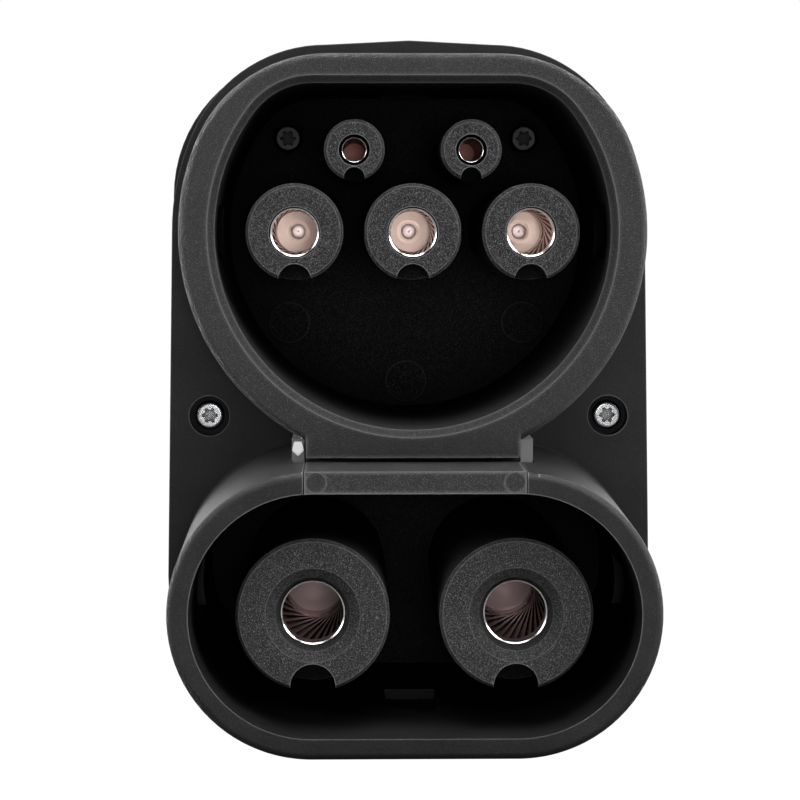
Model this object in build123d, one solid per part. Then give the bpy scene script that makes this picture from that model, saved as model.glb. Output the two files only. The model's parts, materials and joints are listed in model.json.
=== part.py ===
from build123d import *
import math
import os

# Combined AC and DC vehicle charging plug, millimetres.
# X is to the right and Z up as seen by someone who looks at the contacts.
# The mating face looks towards -Y. Pieces are drawn about the earth contact's
# axis with y = 0 on the AC collar's rim, then moved so that the origin is the
# middle of the underside.

os.makedirs("parts", exist_ok=True)

# ---------------------------------------------------------------- dimensions
# AC collar: a round tube with a flattened top
collar_inner_r = 26.7
collar_inner_flat = 20.0
collar_inner_blend = 9.8
collar_wall = 4.9
collar_roof_wall = 3.95
collar_outer_blend = 19.2
collar_outer_round = 0.9
collar_inner_chamfer = 1.0
collar_spigot_wall = 2.6
ac_floor_y = 46.8
ac_floor_plate = 5.0
collar_rebate = 1.2

# DC shroud: a long oval tube below the collar
dc_top_rise = 0.5
dc_rim_y = -12.5
dc_outer_width = 65.2
dc_outer_height = 38.0
dc_wall = 2.85
dc_draft_deg = 0.9
dc_rim_round = 1.0
dc_floor_y = 44.0
dc_floor_plate = 5.0

# Web between the collar and the shroud
web_width = 29.0
web_shelf_rise = 0.1
web_root_rise = 6.7
web_groove_height = 0.6
web_groove_depth = 3.0
web_fit = 0.15
web_mark_r = 1.35
web_mark_spacing = 26.0
web_mark_depth = 0.12
key_width = 1.9
key_height = 4.6
key_top_rise = 2.95
key_front_y = 3.5
key_fit = 0.1

# Flange of the front frame
flange_front_y = 26.0
flange_thickness = 5.0
flange_side_margin = 3.9
flange_upper_margin = 3.35
flange_eaves_margin = 2.65
flange_upper_blend = 20.8
flange_ridge_rise = 0.6
flange_foot_r = 19.0
frame_sleeve_wall = 1.4
frame_fit = 0.15

# Contact pattern
ac_pitch = 16.0
signal_half_pitch = 7.9
signal_rise = 11.1
dc_half_pitch = 13.5
dc_contact_drop = 0.4

# Towers that hold the contacts: radius, face, mouth, notch
ac_tower_r = 6.6
ac_tower_y = 2.0
ac_mouth_r = 3.45
ac_notch_width = 4.5
ac_notch_drop = 4.25
signal_tower_r = 4.1
signal_mouth_r = 2.1
signal_notch_width = 2.8
signal_notch_drop = 2.3
dc_tower_r = 10.2
dc_tower_y = -8.5
dc_mouth_r = 4.4
dc_throat_r = 4.95
dc_cone_r = 6.3
dc_cone_depth = 1.0
dc_notch_width = 6.0
dc_notch_drop = 6.5
notch_depth = 9.0
tower_chamfer = 0.4
ac_mouth_depth = 2.0
dc_mouth_depth = 3.6

# Sockets: bore for the vehicle's pin, sleeve wall, depths behind the tower face
ac_pin_r = 3.0
signal_pin_r = 1.5
dc_pin_r = 4.0
pin_clearance = 0.1
ac_sleeve_r = 4.15
signal_sleeve_r = 2.1
dc_sleeve_r = 6.1
socket_fit = 0.1
ac_socket_lead = 1.0
dc_socket_lead = 2.6
ac_bore_depth = 25.0
signal_bore_depth = 30.0
dc_bore_depth = 28.0
drill_point_share = 0.2
drill_point_depth = 1.2
front_land = 3.0
ac_cage_length = 18.0
dc_cage_length = 22.0
cage_wall = 0.3
cage_end = 1.2
ac_cage_r = 3.75
dc_cage_r = 4.75
cage_turn_deg = 70.0
ac_cage_slats = 20
dc_cage_slats = 22
cage_slot_share = 0.35
socket_head_r_extra = 1.6
socket_head_length = 3.0
crimp_length = 14.0
crimp_wall = 1.2

# Retainers behind the inserts
retainer_thickness = 4.0

# Snap windows in the walls of both cavities
window_width = 7.2
window_depth = 1.4
ac_side_window_y = (7.5, 24.5)
ac_top_window_y = (29.0, 44.0)
dc_window_y = (8.0, 22.5)

# Screws
flange_screw_inset = 6.1
flange_screw_rise = 23.4
flange_screw_head_r = 2.1
flange_screw_sink_r = 2.9
flange_screw_sink = 2.6
flange_screw_r = 1.5
flange_screw_length = 14.0
flange_boss_r = 3.4
flange_boss_length = 14.0
insert_screw_x = 17.9
insert_screw_z = 14.0
insert_screw_head_r = 2.2
insert_screw_r = 1.25
insert_screw_length = 8.4
screw_head_height = 1.6
screw_head_round = 0.55
torx_share = 0.42
torx_lobe_share = 0.14
torx_depth = 1.0
screw_fit = 0.1
floor_disc_r = 3.1
floor_disc_height = 0.25
floor_disc_places = ((-17.8, -14.0), (17.8, -14.0), (0.0, -23.0))

# Gasket between the flange and the shells
gasket_thickness = 1.5
gasket_inset = 1.2

# Handle shells, split on the middle plane
shell_wall = 3.0
shell_inset = 0.7
body_length = 51.5
body_turn_length = 12.0
shoulder_length = 32.0
neck_length = 30.0
grip_half_length = 27.0
tail_length = 24.0
tail_wall = 5.0
body_upper_corner_r = 21.0
body_lower_corner_r = 17.0
waist_half_width = 26.5
waist_top_z = 21.5
waist_bottom_z = -52.0
waist_corner_r = 16.0
grip_half_width = 20.0
grip_swell = 0.8
grip_top_z = 16.5
grip_bottom_z = -27.5
grip_corner_r = 15.0
tail_r = 24.0
tail_corner_r = 22.0
shell_screw_r = 1.5
shell_screw_head_r = 2.7
shell_screw_sink = 7.0
shell_boss_r = 3.8
shell_screw_reach = 9.0
shell_screw_setback = 6.0
shell_screw_edge = 9.2
grip_screw_edge = 7.0
grip_screw_setback = 14.0

# Cable gland at the tail
cable_r = 14.0
gland_seal_wall = 2.4
gland_body_wall = 2.6
gland_body_out = 14.0
gland_flange_wall = 1.6
gland_flange_length = 3.0
gland_nut_wall = 3.2
gland_nut_gap = 1.0
gland_nut_length = 22.0
gland_nut_dome = 6.0
gland_nut_mouth = 0.6
gland_rib_count = 14
gland_rib_r = 1.2

# Heat sensors on the DC crimps
sensor_length = 9.0
sensor_width = 5.0
sensor_height = 3.0
sensor_setback = 3.0
sensor_corner_r = 0.6

# ------------------------------------------------------- derived placements
collar_outer_r = collar_inner_r + collar_wall
collar_outer_flat = collar_inner_flat + collar_roof_wall
dc_z = -(collar_outer_r - dc_top_rise + dc_outer_height / 2)
base_z = dc_z - dc_outer_height / 2
ac_sleeve_grow = collar_spigot_wall + frame_fit + frame_sleeve_wall
dc_sleeve_grow = frame_sleeve_wall - dc_wall
flange_half_width = dc_outer_width / 2 + dc_sleeve_grow + flange_side_margin
flange_upper_r = collar_inner_r + ac_sleeve_grow + flange_upper_margin
flange_eaves_z = collar_inner_flat + ac_sleeve_grow + flange_eaves_margin
flange_screw_x = flange_half_width - flange_screw_inset
flange_screw_z = dc_z + flange_screw_rise
flange_back_y = flange_front_y + flange_thickness
shell_front_y = flange_back_y + gasket_thickness
web_floor_z = dc_z + dc_outer_height / 2 - dc_wall
web_shelf_z = dc_z + dc_outer_height / 2 + web_shelf_rise
web_foot_z = web_shelf_z + web_groove_height
key_top_z = web_shelf_z + key_top_rise
body_half_width = flange_half_width - shell_inset
body_top_z = flange_eaves_z - shell_inset
body_flat_end_y = shell_front_y + body_length
body_end_y = body_flat_end_y + body_turn_length
waist_y = body_end_y + shoulder_length
grip_start_y = waist_y + neck_length
grip_middle_y = grip_start_y + grip_half_length
grip_end_y = grip_middle_y + grip_half_length
tail_y = grip_end_y + tail_length
grip_mid_z = (grip_top_z + grip_bottom_z) / 2
gland_nut_y = tail_y + gland_nut_gap
gland_end_y = gland_nut_y + gland_nut_length
gland_bore_r = cable_r + gland_seal_wall
gland_body_r = gland_bore_r + gland_body_wall
middle_y = (dc_rim_y + gland_end_y) / 2
ac_plate_back_y = ac_floor_y + ac_floor_plate
dc_plate_back_y = dc_floor_y + dc_floor_plate
ac_sleeve_y = ac_tower_y + ac_mouth_depth
dc_sleeve_y = dc_tower_y + dc_mouth_depth
ac_lip_y = ac_tower_y + ac_socket_lead
dc_lip_y = dc_tower_y + dc_socket_lead
ac_socket_places = {
    "line": (-ac_pitch, 0.0),
    "earth": (0.0, 0.0),
    "neutral": (ac_pitch, 0.0),
}
signal_socket_places = {
    "pilot": (-signal_half_pitch, signal_rise),
    "proximity": (signal_half_pitch, signal_rise),
}
dc_socket_places = {
    "dc_left": (-dc_half_pitch, dc_z - dc_contact_drop),
    "dc_right": (dc_half_pitch, dc_z - dc_contact_drop),
}
shell_screw_places = (
    (body_flat_end_y - shell_screw_setback, body_top_z - shell_screw_edge),
    (body_flat_end_y - shell_screw_setback, base_z + shell_screw_edge),
    (waist_y - shell_screw_setback, waist_top_z - shell_screw_edge),
    (waist_y - shell_screw_setback, waist_bottom_z + shell_screw_edge),
    (grip_start_y + grip_screw_setback, grip_top_z - grip_screw_edge),
    (tail_y - tail_length, grip_top_z - grip_screw_edge),
)


# ------------------------------------------------------------------ helpers
def prism(profile, front, back):
    """Solid of an X-Z profile between two depths."""
    return extrude(Plane.XZ.offset(-back) * profile, back - front)


def disc(radius, place=(0.0, 0.0)):
    """Round X-Z profile about a place."""
    return Pos(place[0], place[1]) * Circle(radius)


def rod(radius, front, back, place=(0.0, 0.0)):
    """Round bar along Y."""
    return prism(disc(radius, place), front, back)


def cone(front_r, back_r, front, back, place=(0.0, 0.0)):
    """Tapered round bar along Y."""
    start = Plane.XZ.offset(-front) * disc(front_r, place)
    end = Plane.XZ.offset(-back) * disc(back_r, place)
    return loft([start.face(), end.face()])


def shoulder(radius, flat, blend):
    """Centre of the arc that blends a flat top into a circle."""
    centre_z = flat - blend
    return Vector(math.sqrt((radius - blend) ** 2 - centre_z**2), centre_z)


def d_outline(radius, flat, blend):
    """Circle with a flat top, blended by one arc at each shoulder."""
    centre = shoulder(radius, flat, blend)
    flat_half = centre.X
    lean = centre.normalized()
    crest = (lean + Vector(0, 1)).normalized()
    join = lean * radius
    middle = centre + crest * blend
    top = Line((-flat_half, flat), (flat_half, flat))
    right = ThreePointArc((flat_half, flat), middle, join)
    bowl = ThreePointArc(join, (0, -radius), (-join.X, join.Y))
    left = ThreePointArc((-join.X, join.Y), (-middle.X, middle.Y), (-flat_half, flat))
    return make_face(Curve() + [top, right, bowl, left])


def flange_outline(inset=0.0):
    """Ridged roof, round shoulders, straight sides and rounded feet."""
    radius = flange_upper_r - inset
    eaves = flange_eaves_z - inset
    blend = flange_upper_blend - inset
    ridge = (0, eaves + flange_ridge_rise)
    centre = shoulder(radius, eaves, blend)
    half = centre.X
    lean = centre.normalized()
    crest = (lean + Vector(0, 1)).normalized()
    join = lean * radius
    middle = centre + crest * blend
    turn = (join.normalized() + Vector(1, 0)).normalized() * radius
    side = (flange_half_width - inset, dc_z)
    foot_r = flange_foot_r - inset
    heel = (flange_half_width - inset - foot_r, base_z + inset)
    foot_z = base_z + inset + foot_r
    corner = math.sqrt(0.5) * foot_r
    foot_mid = (heel[0] + corner, foot_z - corner)
    half_curve = [
        Line(ridge, (half, eaves)),
        ThreePointArc((half, eaves), middle, join),
        ThreePointArc(join, turn, (radius, 0)),
        Line((radius, 0), (side[0], foot_z)),
        ThreePointArc((side[0], foot_z), foot_mid, heel),
        Line(heel, (0, base_z + inset)),
    ]
    mirrored = [mirror(edge, about=Plane.YZ) for edge in half_curve]
    return make_face(Curve() + half_curve + mirrored)


def oval(width, height, centre_z=dc_z):
    """Long oval X-Z profile."""
    return Pos(0, centre_z) * SlotOverall(width, height)


def rounded_section(y, half_width, top, bottom, upper_r, lower_r):
    """Closed section of the handle, rounder above or below."""
    sketch = Pos(0, (top + bottom) / 2) * Rectangle(2 * half_width, top - bottom)
    corners = sketch.vertices().sort_by(Axis.Y)
    sketch = fillet(corners[2:], upper_r)
    corners = sketch.vertices().filter_by(lambda v: v.Y < bottom + 0.01)
    sketch = fillet(corners, lower_r)
    return (Plane.XZ.offset(-y) * sketch).face()


def above_base():
    """Block that holds everything above the underside."""
    span = 8 * gland_end_y
    return Pos(0, 0, base_z + span / 2) * Box(span, span, span)


def write(name, solid):
    """Move a finished piece to the origin's frame and write it."""
    placed = Pos(0, -middle_y, -base_z) * solid
    export_step(placed, "parts/" + name + ".step")


# ------------------------------------------------------------ mating face
collar_outer = d_outline(collar_outer_r, collar_outer_flat, collar_outer_blend)
collar_bore = d_outline(collar_inner_r, collar_inner_flat, collar_inner_blend)


def collar_bore_grown(amount):
    """The collar's bore profile, larger all round."""
    return d_outline(
        collar_inner_r + amount,
        collar_inner_flat + amount,
        collar_inner_blend + amount,
    )


def wall_window(front, back, place, angle):
    """Shallow pocket in a cavity wall; angle 0 faces +X, 90 faces +Z."""
    along = prism(Rectangle(2 * window_depth, window_width), front, back)
    return Pos(place[0], 0, place[1]) * Rot(0, -angle, 0) * along


def ac_windows():
    """Snap windows on both sides and above in the AC cavity."""
    sides = [
        wall_window(*ac_side_window_y, (sign * collar_inner_r, 0), 0) for sign in (-1, 1)
    ]
    return sides + [wall_window(*ac_top_window_y, (0, collar_inner_flat), 90)]


def make_collar():
    """Collar tube, its spigot through the flange, and the web below it."""
    tube = prism(collar_outer, 0, flange_front_y)
    tube = fillet(tube.faces().sort_by(Axis.Y)[0].edges(), collar_outer_round)
    spigot = prism(collar_bore_grown(collar_spigot_wall), flange_front_y, ac_plate_back_y)
    section = [
        (0, web_foot_z + web_root_rise),
        (0, web_foot_z),
        (web_groove_depth, web_foot_z),
        (web_groove_depth, web_shelf_z),
        (dc_rim_y, web_shelf_z),
        (dc_rim_y, web_floor_z),
        (flange_front_y, web_floor_z),
        (flange_front_y, web_foot_z + web_root_rise),
    ]
    side_view = make_face(Polyline(*section, close=True))
    web = extrude(Plane.YZ * side_view, web_width / 2, both=True)
    groove_z = (web_foot_z + web_shelf_z) / 2
    groove = Pos(0, groove_z) * Rectangle(web_width, web_groove_height)
    solid = tube + web + spigot - prism(groove, 0, web_groove_depth)
    solid -= prism(collar_bore, 0, ac_floor_y)
    solid -= prism(collar_bore_grown(collar_rebate), ac_floor_y, ac_plate_back_y)
    rim_cut_front = Plane.XZ * collar_bore_grown(collar_inner_chamfer)
    rim_cut_back = Plane.XZ.offset(-collar_inner_chamfer) * collar_bore
    solid -= loft([rim_cut_front.face(), rim_cut_back.face()])
    for window in ac_windows():
        solid -= window
    for sign in (-1, 1):
        mark = (sign * web_mark_spacing / 2, (web_shelf_z + web_floor_z) / 2)
        solid -= rod(web_mark_r, dc_rim_y, dc_rim_y + web_mark_depth, mark)
    return solid


def web_notch():
    """Room in the shroud's roof for the web."""
    width = web_width + 2 * web_fit
    height = collar_outer_r
    profile = Pos(0, web_floor_z + height / 2) * Rectangle(width, height)
    return prism(profile, dc_rim_y, flange_front_y)


def key_profile(sign, clearance=0.0):
    """Slot for one key beside the web."""
    centre_x = sign * (web_width / 2 + web_fit + key_width / 2)
    centre_z = key_top_z - key_height / 2
    return Pos(centre_x, centre_z) * Rectangle(key_width + clearance, key_height + clearance)


def dc_windows():
    """Snap windows on both sides and below in the DC cavity."""
    half_width = dc_outer_width / 2 - dc_wall
    half_height = dc_outer_height / 2 - dc_wall
    sides = [wall_window(*dc_window_y, (sign * half_width, dc_z), 0) for sign in (-1, 1)]
    return sides + [wall_window(*dc_window_y, (0, dc_z - half_height), 90)]


def make_front_frame():
    """Flange with the DC shroud in front and two sleeves behind."""
    rim = Plane.XZ.offset(-dc_rim_y) * oval(dc_outer_width, dc_outer_height)
    shroud = extrude(rim, -(flange_front_y - dc_rim_y), taper=-dc_draft_deg)
    rim_face = shroud.faces().sort_by(Axis.Y)[0]
    shroud = fillet(rim_face.edges(), dc_rim_round)
    plate = prism(flange_outline(), flange_front_y, flange_back_y)
    ac_sleeve = prism(ac_sleeve_profile(), flange_back_y, ac_plate_back_y)
    dc_sleeve = prism(dc_sleeve_profile(), flange_back_y, dc_plate_back_y)
    solid = shroud + plate + ac_sleeve + dc_sleeve
    inner_width = dc_outer_width - 2 * dc_wall
    inner_height = dc_outer_height - 2 * dc_wall
    solid -= prism(oval(inner_width, inner_height), dc_rim_y, dc_plate_back_y)
    spigot_room = collar_bore_grown(collar_spigot_wall + frame_fit)
    solid -= prism(spigot_room, flange_front_y, ac_plate_back_y)
    solid -= web_notch()
    for window in dc_windows():
        solid -= window
    for sign in (-1, 1):
        place = (sign * flange_screw_x, flange_screw_z)
        sink_back = flange_front_y + flange_screw_sink
        solid -= rod(flange_screw_sink_r, flange_front_y, sink_back, place)
        solid -= rod(flange_screw_r, sink_back, flange_back_y, place)
        solid -= prism(key_profile(sign), 0, flange_back_y)
    return solid & above_base()


def make_key(sign):
    """Flat key that wedges the web in the shroud's roof."""
    return prism(key_profile(sign, -2 * key_fit), key_front_y, flange_back_y)


# ------------------------------------------------------------------ inserts
def notch(place, width, drop, face_y):
    """Round-topped notch under a tower's mouth."""
    reach = 3 * width
    round_top = disc(width / 2, (place[0], place[1] - drop - width / 2))
    leg = Pos(place[0], place[1] - drop - width / 2 - reach / 2) * Rectangle(width, reach)
    return prism(round_top + leg, face_y, face_y + notch_depth)


def tower(place, radius, face_y, floor_y):
    """Round tower with a chamfered front edge."""
    column = rod(radius, face_y, floor_y, place)
    return chamfer(column.faces().sort_by(Axis.Y)[0].edges(), tower_chamfer)


def socket_room(place, mouth_r, sleeve_r, face_y, sleeve_y, back_y):
    """Stepped hole for one socket: mouth, sleeve and head."""
    head_y = back_y - socket_head_length
    head_r = sleeve_r + socket_head_r_extra + socket_fit
    mouth = rod(mouth_r, face_y, sleeve_y, place)
    sleeve = rod(sleeve_r + socket_fit, sleeve_y, head_y, place)
    return mouth + sleeve + rod(head_r, head_y, back_y, place)


def make_ac_insert():
    """Floor plate with three power towers and two signal towers."""
    plate = collar_bore_grown(collar_rebate - frame_fit)
    solid = prism(plate, ac_floor_y, ac_plate_back_y)
    for place in ac_socket_places.values():
        solid += tower(place, ac_tower_r, ac_tower_y, ac_floor_y)
    for place in signal_socket_places.values():
        solid += tower(place, signal_tower_r, ac_tower_y, ac_floor_y)
    for place in floor_disc_places:
        solid += rod(floor_disc_r, ac_floor_y - floor_disc_height, ac_floor_y, place)
    for place in ac_socket_places.values():
        solid -= notch(place, ac_notch_width, ac_notch_drop, ac_tower_y)
        solid -= socket_room(
            place, ac_mouth_r, ac_sleeve_r, ac_tower_y, ac_sleeve_y, ac_plate_back_y
        )
    for place in signal_socket_places.values():
        solid -= notch(place, signal_notch_width, signal_notch_drop, ac_tower_y)
        solid -= socket_room(
            place, signal_mouth_r, signal_sleeve_r, ac_tower_y, ac_sleeve_y, ac_plate_back_y
        )
    for sign in (-1, 1):
        place = (sign * insert_screw_x, insert_screw_z)
        hole_r = insert_screw_r + screw_fit
        solid -= rod(hole_r, ac_floor_y, ac_plate_back_y, place)
    return solid


def make_dc_insert():
    """Floor plate with the two large towers."""
    width = dc_outer_width - 2 * dc_wall - 2 * frame_fit
    height = dc_outer_height - 2 * dc_wall - 2 * frame_fit
    solid = prism(oval(width, height), dc_floor_y, dc_plate_back_y)
    for place in dc_socket_places.values():
        solid += tower(place, dc_tower_r, dc_tower_y, dc_floor_y)
    for place in dc_socket_places.values():
        solid -= notch(place, dc_notch_width, dc_notch_drop, dc_tower_y)
        solid -= socket_room(
            place, dc_mouth_r, dc_sleeve_r, dc_tower_y, dc_sleeve_y, dc_plate_back_y
        )
        throat_y = dc_tower_y + dc_cone_depth
        solid -= cone(dc_cone_r, dc_throat_r, dc_tower_y, throat_y, place)
        solid -= cone(dc_throat_r, dc_mouth_r, throat_y, dc_lip_y, place)
    return solid


def make_retainer(profile, front_y, places, sleeve_r_of):
    """Plate that keeps the socket heads in their insert."""
    solid = prism(profile, front_y, front_y + retainer_thickness)
    for name, place in places.items():
        hole_r = sleeve_r_of(name) + socket_fit
        solid -= rod(hole_r, front_y, front_y + retainer_thickness, place)
    return solid


def ac_sleeve_of(name):
    """Sleeve radius of a power or signal socket."""
    return signal_sleeve_r if name in signal_socket_places else ac_sleeve_r


def make_ac_retainer():
    """Plate behind the collar that takes the insert's two screws."""
    places = ac_socket_places | signal_socket_places
    solid = make_retainer(ac_sleeve_profile(), ac_plate_back_y, places, ac_sleeve_of)
    for sign in (-1, 1):
        place = (sign * insert_screw_x, insert_screw_z)
        back_y = ac_plate_back_y + retainer_thickness
        solid -= rod(insert_screw_r, ac_plate_back_y, back_y, place)
    return solid


def dc_sleeve_profile(clearance=0.0):
    """Outside of the frame's DC sleeve behind the flange."""
    grow = 2 * (dc_sleeve_grow + clearance)
    return oval(dc_outer_width + grow, dc_outer_height + grow)


def ac_sleeve_profile(clearance=0.0):
    """Outside of the frame's AC sleeve behind the flange."""
    return collar_bore_grown(ac_sleeve_grow + clearance)


def make_dc_retainer():
    """Plate behind the DC insert."""
    return make_retainer(
        dc_sleeve_profile(), dc_plate_back_y, dc_socket_places, lambda name: dc_sleeve_r
    )


# ------------------------------------------------------------------ sockets
def make_socket(place, pin_r, sleeve_r, mouth_r, lip_y, sleeve_y, bore_depth, head_y):
    """Turned socket: thin lip, blind bore, head and crimp."""
    bore_r = pin_r + pin_clearance
    lip_r = mouth_r - pin_clearance
    crimp_y = head_y + socket_head_length + retainer_thickness
    end_y = crimp_y + crimp_length
    solid = rod(lip_r, lip_y, sleeve_y, place)
    solid += rod(sleeve_r, sleeve_y, end_y, place)
    head_r = sleeve_r + socket_head_r_extra
    solid += rod(head_r, head_y, head_y + socket_head_length, place)
    solid -= rod(bore_r, lip_y, lip_y + bore_depth, place)
    drill_y = lip_y + bore_depth
    point_r = bore_r * drill_point_share
    solid -= cone(bore_r, point_r, drill_y, drill_y + drill_point_depth, place)
    return solid - rod(sleeve_r - crimp_wall, crimp_y, end_y, place)


def cage_room(place, cage_r, lip_y, cage_length):
    """Wider stretch of a socket's bore that holds its lamella cage."""
    cage_y = lip_y + front_land
    return rod(cage_r, cage_y, cage_y + cage_length, place)


def make_cage(place, outer_r, slats, lip_y, cage_length):
    """Lamella cage: a thin sleeve pierced by slots that wind around it."""
    radius = outer_r - socket_fit
    front_y = lip_y + front_land + socket_fit
    back_y = front_y + cage_length - 2 * socket_fit
    ring = prism(disc(radius) - disc(radius - cage_wall), front_y, back_y)
    slot_front_y = front_y + cage_end
    slot_length = back_y - cage_end - slot_front_y
    half_angle = math.radians(180 * cage_slot_share / slats)
    inner = radius - 2 * cage_wall
    outer = radius + cage_wall
    low = math.sin(half_angle)
    high = math.cos(half_angle)
    corners = [
        (inner * high, -inner * low),
        (outer * high, -outer * low),
        (outer * high, outer * low),
        (inner * high, inner * low),
    ]
    slot = make_face(Polyline(*corners, close=True))
    section = Plane.XZ.offset(-slot_front_y) * slot
    cutter = Solid.extrude_linear_with_rotation(
        section.face().outer_wire(),
        (0, slot_front_y, 0),
        (0, slot_length, 0),
        cage_turn_deg,
    )
    for index in range(slats):
        ring -= Rot(0, 360 * index / slats, 0) * cutter
    return Pos(place[0], 0, place[1]) * ring


def make_sensor(place):
    """Small heat sensor that rests on a DC crimp."""
    front_y = dc_plate_back_y + retainer_thickness + sensor_setback
    centre_z = place[1] + dc_sleeve_r + sensor_height / 2
    block = Pos(place[0], centre_z) * RectangleRounded(sensor_width, sensor_height, sensor_corner_r)
    return prism(block, front_y, front_y + sensor_length)


# ----------------------------------------------------------------- fasteners
def torx(radius):
    """Six-lobed recess profile."""
    star = Circle(radius * torx_share)
    for index in range(6):
        lobe = Pos(radius * torx_share, 0) * Circle(radius * torx_lobe_share)
        star += Rot(0, 0, 60 * index) * lobe
    return star


def screw(head_r, shank_r, length, head_y, place):
    """Pan-head screw pointing back from its head's underside."""
    head = rod(head_r, head_y - screw_head_height, head_y, place)
    head = fillet(head.faces().sort_by(Axis.Y)[0].edges(), screw_head_round)
    body = head + rod(shank_r, head_y, head_y + length, place)
    front_y = head_y - screw_head_height
    recess = Pos(place[0], place[1]) * torx(head_r)
    return body - prism(recess, front_y, front_y + torx_depth)


def make_flange_screws():
    """Two bright screws sunk in the flange."""
    head_y = flange_front_y + flange_screw_sink
    return Compound(children=[
        screw(
            flange_screw_head_r,
            flange_screw_r,
            flange_screw_length,
            head_y,
            (sign * flange_screw_x, flange_screw_z),
        )
        for sign in (-1, 1)
    ])


def make_insert_screws():
    """Two dark screws on the AC floor."""
    return Compound(children=[
        screw(
            insert_screw_head_r,
            insert_screw_r,
            insert_screw_length,
            ac_floor_y,
            (sign * insert_screw_x, insert_screw_z),
        )
        for sign in (-1, 1)
    ])


# -------------------------------------------------------------- rear shells
def stations(inset):
    """Handle sections from the body's end to the tail, drawn in by an inset."""
    rows = [
        (body_flat_end_y, body_half_width, body_top_z, base_z,
         body_upper_corner_r, body_lower_corner_r),
        (body_end_y, body_half_width - grip_swell, body_top_z, base_z,
         body_upper_corner_r, body_lower_corner_r),
        (waist_y, waist_half_width, waist_top_z, waist_bottom_z,
         waist_corner_r, waist_corner_r),
        (grip_start_y, grip_half_width + grip_swell, grip_top_z, grip_bottom_z - 2 * grip_swell,
         grip_corner_r, grip_corner_r),
        (grip_middle_y, grip_half_width, grip_top_z - grip_swell, grip_bottom_z + grip_swell,
         grip_corner_r, grip_corner_r),
        (grip_end_y, grip_half_width + grip_swell, grip_top_z, grip_bottom_z,
         grip_corner_r, grip_corner_r),
        (tail_y, tail_r, grip_mid_z + tail_r, grip_mid_z - tail_r,
         tail_corner_r, tail_corner_r),
    ]
    return [
        rounded_section(y, half - inset, top - inset, bottom + inset,
                        upper - inset, lower - inset)
        for y, half, top, bottom, upper, lower in rows
    ]


def handle_solid(inset, front_y):
    """Body and grip as one solid, drawn in by an inset."""
    sections = stations(inset)
    first = sections[0]
    body = extrude(first, body_flat_end_y - front_y, dir=(0, -1, 0))
    return body + loft(sections)


def half_width_at(y):
    """Half width of the shells at a depth."""
    rows = [
        (body_end_y, body_half_width - grip_swell),
        (waist_y, waist_half_width),
        (grip_start_y, grip_half_width + grip_swell),
        (grip_middle_y, grip_half_width),
        (grip_end_y, grip_half_width + grip_swell),
        (tail_y, tail_r),
    ]
    for (y0, w0), (y1, w1) in zip(rows, rows[1:]):
        if y0 <= y <= y1:
            return w0 + (w1 - w0) * (y - y0) / (y1 - y0)
    return rows[0][1]


def cross_rod(radius, start_x, end_x, place):
    """Round bar along X at a (y, z) place."""
    length = end_x - start_x
    return Pos(start_x + length / 2, place[0], place[1]) * Rot(0, 90, 0) * Cylinder(
        radius, length
    )


def make_shell_pair():
    """Whole rear housing before it is split."""
    outer = handle_solid(0, shell_front_y) & above_base()
    inner = handle_solid(shell_wall, shell_front_y)
    beyond = tail_y - tail_wall
    span = 4 * flange_half_width
    inner -= Pos(0, beyond + span / 2, 0) * Box(span, span, span)
    bosses = [
        cross_rod(shell_boss_r, -half_width_at(place[0]), half_width_at(place[0]), place)
        for place in shell_screw_places
    ]
    posts = [
        rod(
            flange_boss_r,
            shell_front_y,
            shell_front_y + flange_boss_length,
            (sign * flange_screw_x, flange_screw_z),
        )
        for sign in (-1, 1)
    ]
    solid = outer - inner
    for added in bosses + posts:
        solid += added & outer
    ac_back_y = ac_plate_back_y + retainer_thickness + frame_fit
    dc_back_y = dc_plate_back_y + retainer_thickness + frame_fit
    solid -= prism(ac_sleeve_profile(frame_fit), shell_front_y, ac_back_y)
    solid -= prism(dc_sleeve_profile(frame_fit), shell_front_y, dc_back_y)
    tail_place = (0, grip_mid_z)
    solid -= rod(gland_body_r + frame_fit, beyond, tail_y, tail_place)
    flange_room_r = gland_body_r + gland_flange_wall + frame_fit
    flange_room_y = beyond - gland_flange_length - frame_fit
    solid -= rod(flange_room_r, flange_room_y, beyond, tail_place)
    for sign in (-1, 1):
        place = (sign * flange_screw_x, flange_screw_z)
        solid -= rod(flange_screw_r, shell_front_y, shell_front_y + flange_boss_length, place)
    for place in shell_screw_places:
        head_x = half_width_at(place[0]) - shell_screw_sink
        sink_r = shell_screw_head_r + screw_fit
        solid -= cross_rod(sink_r, head_x, 2 * flange_half_width, place)
        solid -= cross_rod(shell_screw_r + screw_fit, 0, head_x, place)
        solid -= cross_rod(shell_screw_r, -shell_screw_reach, 0, place)
    return solid


def split_half(solid, sign):
    """One side of a solid about the middle plane."""
    span = 8 * gland_end_y
    keep = Pos(sign * span / 2, 0, 0) * Box(span, span, span)
    return solid & keep


def make_housing_screws():
    """Screws that pull the two shells together."""
    solids = []
    for place in shell_screw_places:
        head_x = half_width_at(place[0]) - shell_screw_sink
        length = head_x + shell_screw_reach - screw_fit
        upright = screw(shell_screw_head_r, shell_screw_r, length, 0, (0, 0))
        solids.append(Pos(head_x, place[0], place[1]) * Rot(0, 0, 90) * upright)
    return Compound(children=solids)


def make_gasket():
    """Flat gasket between the flange and the shells."""
    profile = flange_outline(gasket_inset)
    profile -= ac_sleeve_profile(frame_fit)
    profile -= dc_sleeve_profile(frame_fit)
    solid = prism(profile, flange_back_y, shell_front_y)
    for sign in (-1, 1):
        place = (sign * flange_screw_x, flange_screw_z)
        solid -= rod(flange_screw_r + screw_fit, flange_back_y, shell_front_y, place)
    return solid


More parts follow.
